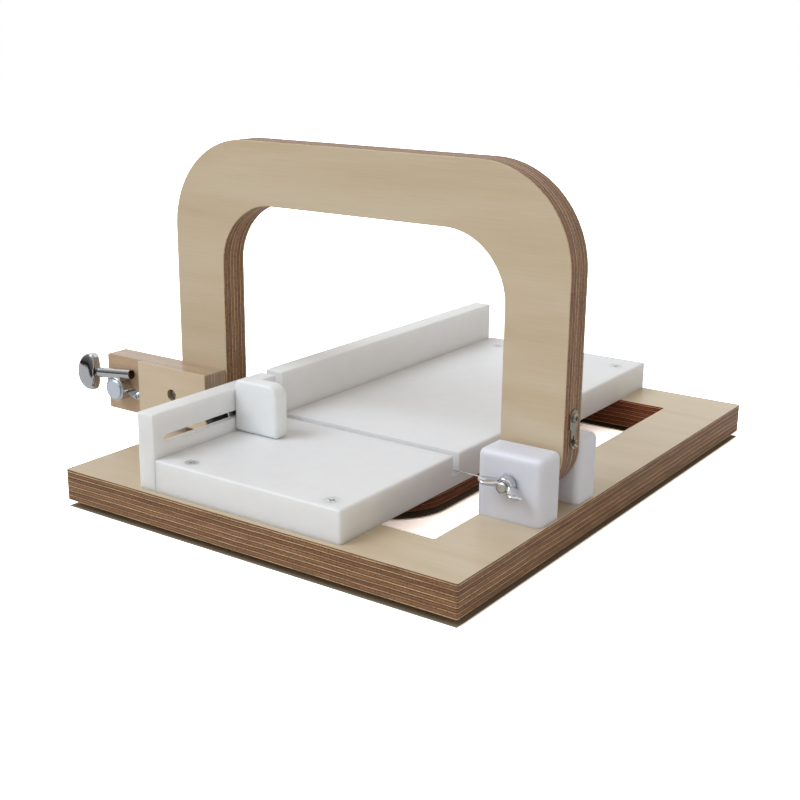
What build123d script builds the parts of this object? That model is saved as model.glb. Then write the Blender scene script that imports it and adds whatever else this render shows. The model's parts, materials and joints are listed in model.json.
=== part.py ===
from build123d import *
import math
import os

# Soap cutter: a plywood base with a plastic cutting platform and fences,
# and a plywood bow that swings down and draws a steel wire through the bar.
# Lengths are in millimetres and angles in degrees. Each piece is modelled with
# X from the left edge of the base board, Y from its front edge and Z from its
# top face. At the end all are moved so that the origin lies on the floor, under
# the middle of the whole tool.

# Fits shared by all pieces
overrun = 2.0
hole_gap = 0.05
running_gap = 0.05
face_gap = 0.1
rest_gap = 0.3

# Base board, birch plywood
board_width = 260.0
board_depth = 350.0
board_thick = 18.0
board_corner = 1.0
left_rail = 42.0
rail_width = 37.5
channel_width = 48.0
opening_corner = 1.2
tongue_corner = 35.0

# Rubber feet under the corners of the board
foot_height = 4.0
foot_radius = 8.0
foot_taper = 1.0
foot_inset = 19.0
foot_pocket_depth = 2.4
foot_pocket_radius = 4.2

# Cutting platform, white plastic sheet
platform_left = 66.5
platform_channel = 32.0
platform_thick = 18.0
platform_front = 3.5
platform_edge = 1.2

# Slot across the platform where the wire ends its cut
cut_plane = 109.0
kerf_width = 6.0
kerf_lead = 5.0
kerf_floor = 6.5

# Fences along the left edge of the platform
front_fence_thick = 11.5
front_fence_height = 42.7
rear_fence_thick = 13.0
rear_fence_height = 43.0
rear_fence_inset = 2.0
fence_edge = 0.8

# Long slot in the front fence, with a wider pocket behind it for the washer and the knob's neck
slot_front = 11.5
slot_rear = 92.0
slot_height = 4.5
slot_level = 27.7
web_thick = 4.0
pocket_height = 16.0

# Stop block that slides along the front fence
stop_width = 30.5
stop_thick = 10.0
stop_height = 30.0
stop_place = 72.5
stop_inner_corner = 4.0
stop_outer_corner = 7.0
stop_foot_corner = 1.5
stop_edge = 1.5

# Knob with its stud, and the washer, that clamp the stop block
thumb_radius = 2.0
thumb_depth = 12.0
thumb_head_radius = 12.0
thumb_head_length = 7.0
thumb_neck_radius = 4.0
thumb_neck_length = 7.0
thumb_edge = 1.0
thumb_groove_count = 14
thumb_groove_radius = 1.2
stop_washer_radius = 5.5
stop_washer_thick = 1.0

# Bow, birch plywood. It spans the board and stands a little past its left edge.
bow_overhang = 5.7
bow_inset = 1.6
bow_thick = 18.0
bow_top = 177.8
bow_band = 36.1
leg_width = 37.0
bow_outer_corner = 54.0
bow_inner_corner = 37.0
leg_end_level = 8.0
leg_end_outer_share = 0.676
leg_end_inner_share = 0.27
bow_edge = 0.6

# Pivot: two plastic blocks, a bolt, washers and a wing nut
pivot_level = 20.5
block_height = 36.0
block_depth = 21.0
block_width = 37.6
block_edge = 3.8
pivot_gap = 0.8
bolt_radius = 2.5
bolt_head_width = 8.0
bolt_head_thick = 3.5
bolt_proud = 7.5
washer_radius = 7.0
side_washer_thick = 0.6
end_washer_radius = 5.5
end_washer_thick = 1.0
nut_base_radius = 5.5
nut_top_radius = 4.4
nut_height = 5.0
nut_turn = 14.6
wing_span = 25.0
wing_thick = 2.3
wing_height = 11.5
wing_root = 0.6
wing_shoulder = 6.5
wing_tip_level = 6.0
wing_tip_width = 3.6
wing_corner = 1.5

# Tuner block, birch plywood, on the front face of the left leg
tuner_block_reach = 49.3
tuner_block_inset = 1.0
tuner_block_level = 6.0
tuner_block_height = 35.0
tuner_block_thick = 18.0
tuner_block_edge = 1.0
recess_width = 29.5
recess_depth = 3.0

# Geared tuner that tightens the wire
post_from_left = 13.0
post_level = 21.4
tuner_tilt = 6.0
case_radius = 7.6
case_depth = 6.8
case_front_wall = 1.2
case_edge = 0.8
plate_thick = 1.2
cap_radius = 5.85
cap_thick = 0.9
cap_plug_radius = 4.6
cap_edge = 0.4
barrel_radius = 3.2
barrel_wall = 0.5
barrel_left = 15.0
barrel_right = 13.0
barrel_end_wall = 3.0
barrel_reach = 3.0
neck_half = 5.5
tab_reach = 13.0
tab_drop = 5.0
tab_radius = 2.8
gear_teeth = 14
gear_tip_radius = 6.6
gear_root_radius = 5.5
gear_thick = 3.2
gear_bore = 1.9
mesh_gap = 0.2
worm_radius = 2.5
worm_core = 1.9
worm_length = 9.0
worm_pitch = 1.5
worm_end_recess = 3.0
worm_collar = 2.0
shaft_radius = 1.5
button_gap = 4.7
button_width = 13.0
button_height = 22.0
button_thick = 9.0
button_round = 10.0
button_edge = 1.4
button_screw_radius = 1.0
button_screw_head = 2.0
button_screw_length = 8.0
button_screw_sink = 1.2
gear_screw_head = 2.8
gear_screw_head_thick = 0.9
gear_screw_radius = 1.0
gear_screw_length = 5.0

# String post and its bushing
post_radius = 3.0
post_waist = 2.5
post_collar = 1.0
post_waist_length = 8.0
post_end_length = 2.0
post_cross_hole = 0.6
bushing_wall = 0.9
bushing_length = 5.0
bushing_flange = 5.5
bushing_flange_thick = 1.0

# Cutting wire with its ball end
wire_radius = 0.3
wire_gap = 0.05
wire_turns = 3
wire_turn_pitch = 1.1
wire_entry_bend = 5.0
wire_exit_bend = 3.0
wire_hole_radius = 0.8
ball_radius = 1.2
ball_rise = 3.2

# Forked clip that holds the ball end on the outer edge of the right leg
clip_rise = 2.2
clip_height = 19.8
clip_width = 8.4
clip_fork_width = 5.2
clip_fork_height = 9.6
clip_slot_width = 1.2
clip_slot_height = 6.3
clip_thick = 0.8
clip_curl = 1.5
clip_corner = 1.5
clip_head_round = 3.8
clip_screw_drop = 4.2

# Screws: countersunk wood screws, pan head screws
wood_screw_radius = 2.0
wood_head_radius = 4.0
platform_screw_length = 32.0
platform_screw_left = 18.5
platform_screw_right = 12.0
platform_screw_front = 9.5
platform_screw_rear = 21.0
fence_screw_length = 25.0
fence_screw_end = 18.0
block_screw_length = 34.0
block_screw_spacing = 20.0
pan_head_radius = 3.2
pan_head_height = 2.0
foot_screw_length = 13.0
tuner_screw_length = 20.0
tuner_screw_sink = 5.0
tuner_bore_radius = 3.5
tuner_screw_right = 28.0
tuner_screw_level = 24.2
tuner_screw_right_low = 9.0
tuner_screw_level_low = 13.0
small_screw_radius = 1.3
small_head_radius = 2.5
small_head_height = 1.4
mount_screw_length = 10.0
clip_screw_length = 12.0
screw_point = 3.0
screw_sink = 0.2
recess_bar = 0.9
recess_share = 0.55

# Places worked out from the sizes above
floor_level = -board_thick - foot_height
platform_right = board_width - rail_width - platform_channel
fence_face = platform_left
front_fence_left = fence_face - front_fence_thick
rear_fence_left = fence_face - rear_fence_thick
kerf_front = cut_plane - kerf_lead
kerf_rear = kerf_front + kerf_width
bow_left = -bow_overhang
bow_right = board_width - bow_inset
leg_end_outer = leg_width * leg_end_outer_share
leg_end_inner = leg_width * leg_end_inner_share
clip_bottom = leg_end_level + leg_end_outer + clip_rise
clip_top = clip_bottom + clip_height
clip_fork_level = clip_bottom + clip_fork_height
clip_slot_top = clip_bottom + clip_slot_height
clip_screw_level = clip_top - clip_screw_drop
ball_level = clip_bottom + ball_rise
bow_front = cut_plane - bow_thick / 2
bow_rear = cut_plane + bow_thick / 2
pivot_x = bow_right - leg_width / 2
front_block_rear = bow_front - pivot_gap
front_block_front = front_block_rear - block_depth
rear_block_front = bow_rear + pivot_gap
rear_block_rear = rear_block_front + block_depth
block_left = pivot_x - block_width / 2
block_right = pivot_x + block_width / 2
wire_level = leg_end_level - wire_radius - wire_gap
tuner_block_front = bow_front - tuner_block_thick
recess_face = tuner_block_front + recess_depth
tuner_block_left = bow_left - tuner_block_reach
post_x = tuner_block_left + post_from_left
case_front = recess_face - plate_thick - case_depth
gear_middle = case_front + case_front_wall + gear_screw_head_thick + gear_thick / 2
worm_distance = gear_tip_radius + mesh_gap + worm_radius

pieces = {}


def keep(name, solids):
    """Store one node: a single solid, or a group of separate ones."""
    group = solids if isinstance(solids, list) else [solids]
    pieces[name] = group


def block_between(low, high):
    """Block that fills the space between two opposite corners."""
    size = [b - a for a, b in zip(low, high)]
    middle = [(a + b) / 2 for a, b in zip(low, high)]
    return Pos(*middle) * Box(*size)


def aimed(shape, place, direction):
    """Shape modelled on +Z, moved to a place and turned to point along a direction."""
    return Plane(origin=place, z_dir=direction).location * shape


def rod(place, direction, radius, length):
    """Round bar that starts at a place and runs along a direction."""
    return extrude(Plane(origin=place, z_dir=direction) * Circle(radius), length)


def turned(points):
    """Solid of revolution about Z from (radius, height) points."""
    return revolve(Plane.XZ * make_face(Polyline(*points, close=True)), Axis.Z)


def cross_recess(radius, bar, depth):
    """Cross-shaped driver recess that goes down from Z = 0."""
    arm = Box(2 * radius, bar, depth)
    return Pos(0, 0, -depth / 2) * (arm + Rot(0, 0, 90) * arm)


def wood_screw(length, gap=0.0):
    """Countersunk screw with its head flush at Z = 0, pointing down."""
    head = wood_head_radius + gap
    shank = wood_screw_radius + gap
    cone = wood_head_radius - wood_screw_radius
    tip = length + gap
    points = [(0, 0), (head, 0), (shank, -cone), (shank, screw_point - tip), (0, -tip)]
    return turned(points)


def wood_screw_hole(length):
    """Hole for a countersunk screw, open above its head."""
    mouth = Pos(0, 0, overrun / 2) * Cylinder(wood_head_radius + hole_gap, overrun)
    return wood_screw(length, hole_gap) + mouth


def driven(screw, radius, bar):
    """Screw with a driver recess cut in its head."""
    return screw - cross_recess(radius * recess_share, bar, bar)


def pan_screw(shank, head, head_height, length, gap=0.0):
    """Pan head screw: underside of the head at Z = 0, pointing down."""
    dome = head_height / 2
    points = [(0, head_height), (head - dome, head_height), (head, dome), (head, 0)]
    points += [(shank + gap, 0), (shank + gap, screw_point - length), (0, -length - gap)]
    return turned(points)


def pan_driven(shank, head, head_height, length):
    """Pan head screw with its driver recess."""
    recess = Pos(0, 0, head_height) * cross_recess(head * recess_share, recess_bar, head_height / 2)
    return pan_screw(shank, head, head_height, length) - recess


def edges_along(shape, axis):
    """Straight edges of a shape that run along an axis."""
    return shape.edges().filter_by(axis)


# Base board: a frame of rails round a C-shaped opening, with a tongue left
# standing inside it. The opening is the shape that the bow was cut from.
def foot_places():
    """Centres of the four feet on the underside of the board."""
    return [(x, y) for x in (foot_inset, board_width - foot_inset)
            for y in (foot_inset, board_depth - foot_inset)]


def platform_screw_places():
    """Centres of the four screws that hold the platform."""
    xs = (platform_left + platform_screw_left, platform_right - platform_screw_right)
    ys = (platform_front + platform_screw_front, board_depth - platform_screw_rear)
    return [(x, y) for x in xs for y in ys]


def block_screw_places():
    """Centres of the screws that come up into the two pivot blocks."""
    middles = (front_block_front + block_depth / 2, rear_block_front + block_depth / 2)
    middle_x = (block_left + block_right) / 2
    return [(middle_x + side * block_screw_spacing / 2, y) for side in (-1, 1) for y in middles]


def opening_outline():
    """C-shaped opening: a rectangle less the tongue."""
    wide = board_width - rail_width - left_rail
    deep = board_depth - 2 * rail_width
    frame = Pos(left_rail + wide / 2, board_depth / 2) * RectangleRounded(wide, deep, opening_corner)
    tongue_right = board_width - rail_width - channel_width
    tongue_left = left_rail - 2 * tongue_corner
    long = tongue_right - tongue_left
    tongue = RectangleRounded(long, deep - 2 * channel_width, tongue_corner)
    return frame - Pos(tongue_left + long / 2, board_depth / 2) * tongue


def make_base_board():
    outline = RectangleRounded(board_width, board_depth, board_corner)
    sheet = Pos(board_width / 2, board_depth / 2) * outline - opening_outline()
    board = extrude(Pos(0, 0, -board_thick) * sheet, board_thick)
    below = platform_screw_length - platform_thick
    for x, y in platform_screw_places():
        board -= rod((x, y, -below - hole_gap), (0, 0, 1), wood_screw_radius + hole_gap, below + overrun)
    for x, y in block_screw_places():
        board -= aimed(wood_screw_hole(block_screw_length), (x, y, screw_sink - board_thick), (0, 0, -1))
    grip = foot_screw_length - foot_height + foot_pocket_depth
    for x, y in foot_places():
        board -= rod((x, y, -board_thick - overrun), (0, 0, 1),
                     small_screw_radius + hole_gap, grip + overrun + hole_gap)
    keep("base_board", board)


def make_feet():
    head_level = floor_level + foot_pocket_depth
    feet = []
    screws = []
    for x, y in foot_places():
        rubber = Cone(foot_radius - foot_taper, foot_radius, foot_height)
        foot = Pos(x, y, floor_level + foot_height / 2) * rubber
        foot -= rod((x, y, floor_level - overrun), (0, 0, 1), foot_pocket_radius, foot_pocket_depth + overrun)
        foot -= rod((x, y, floor_level), (0, 0, 1), small_screw_radius + hole_gap, foot_height + overrun)
        feet.append(foot)
        screw = pan_driven(small_screw_radius, pan_head_radius, small_head_height, foot_screw_length)
        screws.append(aimed(screw, (x, y, head_level), (0, 0, -1)))
    keep("rubber_feet", feet)
    keep("foot_screws", screws)


# Cutting platform: one thick plastic board with a slot across it.
def fence_screw_places():
    """Outer face and distance from the front for each screw through the fences."""
    front = [platform_front + fence_screw_end, kerf_front - fence_screw_end]
    rear_end = board_depth - rear_fence_inset
    rear = [kerf_rear + fence_screw_end, (kerf_rear + rear_end) / 2, rear_end - 2 * fence_screw_end]
    return [(front_fence_left, y) for y in front] + [(rear_fence_left, y) for y in rear]


def fence_screw_at(shape, face, y):
    """Screw or hole driven from the left through a fence."""
    return aimed(shape, (face + screw_sink, y, platform_thick / 2), (-1, 0, 0))


def make_platform():
    platform = block_between((platform_left, platform_front, 0), (platform_right, board_depth, platform_thick))
    top = platform.edges().group_by(Axis.Z)[-1]
    upright = edges_along(platform, Axis.Z)
    platform = fillet(top + upright, platform_edge)
    platform -= block_between((platform_left - overrun, kerf_front, kerf_floor),
                              (platform_right + overrun, kerf_rear, platform_thick + overrun))
    for x, y in platform_screw_places():
        platform -= Pos(x, y, platform_thick - screw_sink) * wood_screw_hole(platform_screw_length)
    for face, y in fence_screw_places():
        platform -= fence_screw_at(wood_screw_hole(fence_screw_length), face, y)
    keep("platform", platform)
    screw = driven(wood_screw(platform_screw_length), wood_head_radius, recess_bar)
    level = platform_thick - screw_sink
    keep("platform_screws", [Pos(x, y, level) * screw for x, y in platform_screw_places()])


def fence_blank(face, front, rear, height):
    """Fence board with its top and end edges eased."""
    fence = block_between((face, front, 0), (fence_face, rear, height))
    eased = fence.edges().group_by(Axis.Z)[-1] + edges_along(fence, Axis.Z)
    fence = fillet(eased, fence_edge)
    for screw_face, y in fence_screw_places():
        if screw_face == face:
            fence -= fence_screw_at(wood_screw_hole(fence_screw_length), face, y)
    return fence


def slot_solid(height, left, right):
    """Round-ended slot along Y between two values of X; all share the end centres."""
    first = slot_front + slot_height / 2
    last = slot_rear - slot_height / 2
    shape = SlotCenterToCenter(last - first, height)
    plane = Plane(origin=(left, (first + last) / 2, slot_level), x_dir=(0, 1, 0), z_dir=(1, 0, 0))
    return extrude(plane * shape, right - left)


def make_fences():
    front = fence_blank(front_fence_left, platform_front, kerf_front, front_fence_height)
    front -= slot_solid(slot_height, front_fence_left - overrun, fence_face + overrun)
    front -= slot_solid(pocket_height, front_fence_left - overrun, fence_face - web_thick)
    keep("front_fence", front)
    rear_end = board_depth - rear_fence_inset
    keep("rear_fence", fence_blank(rear_fence_left, kerf_rear, rear_end, rear_fence_height))
    screw = driven(wood_screw(fence_screw_length), wood_head_radius, recess_bar)
    keep("fence_screws", [fence_screw_at(screw, face, y) for face, y in fence_screw_places()])


# Stop block: a clear plastic tab that slides on the platform along the fence,
# clamped by a knob with a stud through the fence's slot.
def make_stop():
    left = fence_face + face_gap
    low = platform_thick + rest_gap
    front = stop_place - stop_thick / 2
    corners = [(left, low), (left + stop_width, low)]
    corners += [(left + stop_width, low + stop_height), (left, low + stop_height)]
    face = make_face(Polyline(*corners, close=True))
    upper = face.vertices().group_by(Axis.Y)[-1].sort_by(Axis.X)
    face = fillet(upper[0], stop_inner_corner)
    face = fillet(face.vertices().group_by(Axis.X)[-1].group_by(Axis.Y)[-1], stop_outer_corner)
    face = fillet(face.vertices().group_by(Axis.Y)[0], stop_foot_corner)
    plane = Plane(origin=(0, front, 0), x_dir=(1, 0, 0), z_dir=(0, -1, 0))
    stop = extrude(plane * face, -stop_thick)
    faces = stop.faces().sort_by(Axis.Y)
    stop = fillet(faces[0].edges() + faces[-1].edges(), stop_edge)
    bore = thumb_radius + hole_gap
    stop -= rod((left - overrun, stop_place, slot_level), (1, 0, 0), bore, thumb_depth + hole_gap + overrun)
    keep("stop_block", stop)


def make_stop_fasteners():
    web_face = fence_face - web_thick
    washer_right = web_face - face_gap / 2
    washer = rod((washer_right, stop_place, slot_level), (-1, 0, 0), stop_washer_radius, stop_washer_thick)
    bore = thumb_radius + hole_gap
    washer -= rod((web_face, stop_place, slot_level), (-1, 0, 0), bore, stop_washer_thick + overrun)
    keep("stop_washer", washer)
    under_head = washer_right - stop_washer_thick - face_gap / 2
    shank_length = fence_face + face_gap + thumb_depth - under_head
    neck = thumb_neck_length
    head_end = neck + thumb_head_length
    points = [(0, -shank_length), (thumb_radius, -shank_length), (thumb_radius, 0), (thumb_neck_radius, 0)]
    points += [(thumb_neck_radius, neck), (thumb_head_radius - thumb_edge, neck)]
    points += [(thumb_head_radius, neck + thumb_edge), (thumb_head_radius, head_end - thumb_edge)]
    points += [(thumb_head_radius - thumb_edge, head_end), (0, head_end)]
    screw = turned(points)
    groove = Pos(thumb_head_radius, 0, neck + thumb_head_length / 2)
    groove = groove * Cylinder(thumb_groove_radius, thumb_head_length + overrun)
    for number in range(thumb_groove_count):
        screw -= Rot(0, 0, 360 * number / thumb_groove_count) * groove
    keep("stop_thumb_screw", aimed(screw, (under_head, stop_place, slot_level), (-1, 0, 0)))


# Pivot: the right leg of the bow turns on a bolt between two plastic blocks.
def pivot_block(front):
    """Plastic block with eased edges and a bore for the bolt."""
    block = block_between((block_left, front, 0), (block_right, front + block_depth, block_height))
    eased = block.edges() - block.edges().group_by(Axis.Z)[0]
    block = fillet(eased, block_edge)
    bore = bolt_radius + running_gap
    block -= rod((pivot_x, front - overrun, pivot_level), (0, 1, 0), bore, block_depth + 2 * overrun)
    for x, y in block_screw_places():
        if front < y < front + block_depth:
            block -= aimed(wood_screw_hole(block_screw_length), (x, y, screw_sink - board_thick), (0, 0, -1))
    return block


def washer_at(y, radius, thick):
    """Plain washer on the bolt, from a place towards the rear."""
    ring = rod((pivot_x, y, pivot_level), (0, 1, 0), radius, thick)
    bore = bolt_radius + running_gap
    return ring - rod((pivot_x, y - overrun, pivot_level), (0, 1, 0), bore, thick + 2 * overrun)


def make_pivot():
    keep("front_pivot_block", pivot_block(front_block_front))
    keep("rear_pivot_block", pivot_block(rear_block_front))
    screw = driven(wood_screw(block_screw_length), wood_head_radius, recess_bar)
    level = screw_sink - board_thick
    keep("pivot_block_screws", [aimed(screw, (x, y, level), (0, 0, -1)) for x, y in block_screw_places()])
    side_gap = (pivot_gap - side_washer_thick) / 2
    washers = [washer_at(front_block_rear + side_gap, washer_radius, side_washer_thick)]
    washers.append(washer_at(bow_rear + side_gap, washer_radius, side_washer_thick))
    washers.append(washer_at(front_block_front - end_washer_thick, end_washer_radius, end_washer_thick))
    washers.append(washer_at(rear_block_rear, end_washer_radius, end_washer_thick))
    keep("pivot_washers", washers)
    head_front = rear_block_rear + end_washer_thick
    bolt_end = front_block_front - bolt_proud
    bolt = rod((pivot_x, bolt_end, pivot_level), (0, 1, 0), bolt_radius, head_front - bolt_end)
    bolt = chamfer(bolt.edges().group_by(Axis.Y)[0], bolt_radius / 4)
    head_plane = Plane(origin=(pivot_x, head_front, pivot_level), z_dir=(0, 1, 0))
    head = RegularPolygon(bolt_head_width / 2, 6, major_radius=False)
    keep("pivot_bolt", bolt + extrude(head_plane * head, bolt_head_thick))


def wing_outline():
    """Side view of one wing: distance from the bolt against height on the nut."""
    tip = wing_span / 2
    points = [(bolt_radius + running_gap + nut_top_radius / 4, wing_root), (wing_shoulder, wing_root)]
    points += [(tip, wing_tip_level), (tip - wing_corner / 2, wing_height)]
    points += [(tip - wing_tip_width, wing_height), (nut_top_radius, nut_height)]
    outline = make_face(Polyline(*points, close=True))
    outer = outline.vertices().sort_by(Axis.X)[1:]
    return fillet(outer, wing_corner / 2)


def make_wing_nut():
    points = [(bolt_radius + running_gap, 0), (nut_base_radius, 0)]
    points += [(nut_top_radius, nut_height), (bolt_radius + running_gap, nut_height)]
    nut = turned(points)
    wing = extrude(Plane.XZ * wing_outline(), wing_thick / 2, both=True)
    nut = nut + wing + Rot(0, 0, 180) * wing
    face = front_block_front - end_washer_thick - face_gap
    plane = Plane(origin=(pivot_x, face, pivot_level), x_dir=(1, 0, 0), z_dir=(0, -1, 0))
    keep("wing_nut", plane.location * Rot(0, 0, -nut_turn) * nut)


# Bow: an arch of plywood. The foot of its left leg stands on the board.
def bow_outline():
    """Front view of the arch, with round corners and a rounded right foot."""
    low = floor_level
    wide = bow_right - bow_left
    tall = bow_top - low
    outer = Pos(bow_left + wide / 2, low + tall / 2) * Rectangle(wide, tall)
    outer = fillet(outer.vertices().group_by(Axis.Y)[-1], bow_outer_corner)
    gap_left = bow_left + leg_width
    gap_right = bow_right - leg_width
    gap_top = bow_top - bow_band
    gap_tall = gap_top - low + overrun
    gap = Pos((gap_left + gap_right) / 2, gap_top - gap_tall / 2) * Rectangle(gap_right - gap_left, gap_tall)
    gap = fillet(gap.vertices().group_by(Axis.Y)[-1], bow_inner_corner)
    return outer - gap


def right_foot_cut():
    """Everything under the rounded end of the right leg, seen from the front."""
    level = leg_end_level + leg_end_outer
    left = bow_right - leg_width
    below = Rectangle(leg_width + 2 * overrun, level - floor_level + overrun)
    below = Pos((left + bow_right) / 2, (level + floor_level - overrun) / 2) * below
    end = Pos((left + bow_right) / 2, leg_end_level + leg_end_outer) * Rectangle(leg_width, 2 * leg_end_outer)
    corners = end.vertices().group_by(Axis.Y)[0].sort_by(Axis.X)
    end = fillet(corners[1], leg_end_outer)
    inner = end.vertices().group_by(Axis.Y)[0].sort_by(Axis.X)[0]
    return below - fillet(inner, leg_end_inner)


def bow_plane():
    """Vertical plane of the bow's front face, seen from the front."""
    return Plane(origin=(0, bow_front, 0), x_dir=(1, 0, 0), z_dir=(0, -1, 0))


def tuner_screw_places():
    """Screws that hold the tuner block to the left leg, on its front face."""
    right = bow_left + leg_width - tuner_block_inset
    upper = (right - tuner_screw_right, tuner_screw_level)
    lower = (right - tuner_screw_right_low, tuner_screw_level_low)
    return [upper, lower]


def make_bow():
    bow = extrude(bow_plane() * (bow_outline() - right_foot_cut()), -bow_thick)
    faces = bow.faces().sort_by(Axis.Y)
    bow = fillet(faces[0].edges() + faces[-1].edges(), bow_edge)
    bore = bolt_radius + running_gap
    bow -= rod((pivot_x, bow_front - overrun, pivot_level), (0, 1, 0), bore, bow_thick + 2 * overrun)
    bow -= rod((bow_left - overrun, cut_plane, wire_level), (1, 0, 0), wire_hole_radius,
               leg_width + 2 * overrun)
    seat = tuner_block_front + tuner_screw_sink
    for x, z in tuner_screw_places():
        bow -= rod((x, bow_front - overrun, z), (0, 1, 0), wood_screw_radius + hole_gap,
                   seat + tuner_screw_length + hole_gap - bow_front + overrun)
    bow -= rod((bow_right + overrun, cut_plane, clip_screw_level), (-1, 0, 0),
               small_screw_radius + hole_gap, clip_screw_length + overrun)
    under = block_between((2 * bow_left, bow_front - overrun, 2 * floor_level),
                          (bow_left + 2 * leg_width, bow_rear + overrun, rest_gap))
    keep("bow", bow - under)


# Tuner block and the geared tuner on it
def tuner_frame():
    """Frame on the string post's axis: X along the worm shaft, Y up, Z to the front."""
    lean = math.radians(tuner_tilt)
    along = (math.cos(lean), 0, math.sin(lean))
    return Plane(origin=(post_x, 0, post_level), x_dir=along, z_dir=(0, -1, 0))


def on_tuner(shape):
    """Piece drawn in the tuner's frame, moved to its place on the bow."""
    return tuner_frame().location * shape


def tuner_rod(radius, rear, front):
    """Round bar on the string post's axis between two distances from the front edge."""
    return Pos(0, 0, -(rear + front) / 2) * Cylinder(radius, rear - front)


def worm_rod(radius, left, right):
    """Round bar on the worm's axis between two distances along it."""
    bar = Rot(0, 90, 0) * Cylinder(radius, right - left)
    return Pos((left + right) / 2, worm_distance, -gear_middle) * bar


def make_tuner_block():
    right = bow_left + leg_width - tuner_block_inset
    top = tuner_block_level + tuner_block_height
    wood = block_between((tuner_block_left, tuner_block_front, tuner_block_level), (right, bow_front, top))
    wood = fillet(edges_along(wood, Axis.Z) + edges_along(wood, Axis.Y), tuner_block_edge)
    step = tuner_block_left + recess_width
    wood -= block_between((tuner_block_left - overrun, tuner_block_front - overrun, tuner_block_level - overrun),
                          (step, recess_face, top + overrun))
    wood -= rod((post_x, tuner_block_front - overrun, post_level), (0, 1, 0),
                post_radius + running_gap + bushing_wall + hole_gap, tuner_block_thick + 2 * overrun)
    for x, z in tuner_screw_places():
        wood -= rod((x, tuner_block_front - overrun, z), (0, 1, 0), tuner_bore_radius, tuner_screw_sink + overrun)
        wood -= rod((x, tuner_block_front, z), (0, 1, 0), wood_screw_radius + hole_gap, tuner_block_thick + overrun)
    grip = mount_screw_length - plate_thick + hole_gap
    wood -= on_tuner(Pos(tab_reach, -tab_drop, 0) * tuner_rod(small_screw_radius + hole_gap,
                                                              recess_face + grip, recess_face - overrun))
    keep("tuner_block", wood)
    screw = pan_driven(wood_screw_radius, pan_head_radius, pan_head_height, tuner_screw_length)
    seat = tuner_block_front + tuner_screw_sink
    screws = [aimed(screw, (x, seat, z), (0, -1, 0)) for x, z in tuner_screw_places()]
    keep("tuner_block_screws", screws)


def make_tuner_case():
    case_rear = recess_face - plate_thick
    case = fillet(tuner_rod(case_radius, case_rear, case_front).edges().group_by(Axis.Z)[-1], case_edge)
    reach = gear_middle + barrel_reach
    neck = block_between((-neck_half, 0, -min(reach, case_rear)),
                         (neck_half, worm_distance, barrel_radius - gear_middle))
    barrel = worm_rod(barrel_radius, -barrel_left, barrel_right)
    case = case + neck + barrel
    cavity = tuner_rod(gear_tip_radius + mesh_gap, case_rear + overrun, case_front + case_front_wall)
    bore = worm_rod(barrel_radius - barrel_wall, barrel_end_wall - barrel_left, barrel_right + overrun)
    case = case - cavity - bore
    case -= worm_rod(shaft_radius + running_gap, -barrel_left - overrun, 0)
    case -= tuner_rod(cap_plug_radius + hole_gap, case_rear, case_front - overrun)
    keep("tuner_housing", on_tuner(case))
    tab = Pos(tab_reach, -tab_drop) * Circle(tab_radius)
    disc = Circle(case_radius)
    outline = make_hull((Circle(tab_radius).edges() + tab.edges())) + disc
    plate = extrude(Pos(0, 0, -recess_face) * outline, plate_thick)
    plate -= tuner_rod(post_radius + running_gap, recess_face + overrun, case_front)
    plate -= Pos(tab_reach, -tab_drop, 0) * tuner_rod(small_screw_radius + hole_gap,
                                                      recess_face + overrun, case_front)
    keep("tuner_base_plate", on_tuner(plate))
    cap = fillet(tuner_rod(cap_radius, case_front, case_front - cap_thick).edges().group_by(Axis.Z)[-1], cap_edge)
    keep("tuner_cap", on_tuner(cap + tuner_rod(cap_plug_radius, case_front + case_front_wall / 2, case_front)))
    mount = pan_driven(small_screw_radius, small_head_radius, small_head_height, mount_screw_length)
    keep("tuner_mount_screw", on_tuner(Pos(tab_reach, -tab_drop, plate_thick - recess_face) * mount))


def gear_outline():
    """Gear seen from the front, with straight-sided teeth."""
    pitch = 360 / gear_teeth
    shares = [(-0.32, gear_root_radius), (-0.16, gear_tip_radius), (0.16, gear_tip_radius), (0.32, gear_root_radius)]
    points = []
    for tooth in range(gear_teeth):
        for share, radius in shares:
            angle = math.radians(pitch * (tooth + share))
            points.append((radius * math.cos(angle), radius * math.sin(angle)))
    return make_face(Polyline(*points, close=True))


def make_gear_train():
    gear_rear = gear_middle + gear_thick / 2
    gear_front = gear_middle - gear_thick / 2
    gear = extrude(Pos(0, 0, -gear_rear) * gear_outline(), gear_thick)
    gear -= tuner_rod(gear_bore + hole_gap, gear_rear + overrun, gear_front - overrun)
    keep("worm_gear", on_tuner(gear))
    screw = pan_driven(gear_screw_radius, gear_screw_head, gear_screw_head_thick, gear_screw_length)
    keep("gear_screw", on_tuner(Pos(0, 0, -gear_front) * screw))
    right = barrel_right - worm_end_recess
    shaft_left = -barrel_left - button_gap - button_width / 2
    worm = worm_rod(worm_core, -worm_length / 2, worm_length / 2)
    turns = int(worm_length / worm_pitch)
    for number in range(turns):
        middle = (number + 0.5) * worm_pitch - worm_length / 2
        worm += worm_rod(worm_radius, middle - worm_pitch / 4, middle + worm_pitch / 4)
    shaft = worm_rod(shaft_radius, shaft_left, right) + worm
    shaft += worm_rod(barrel_radius - barrel_wall - running_gap, right - worm_collar, right)
    shaft -= worm_rod(button_screw_radius + hole_gap, shaft_left - overrun, shaft_left + button_screw_length)
    keep("worm_shaft", on_tuner(shaft))


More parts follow.
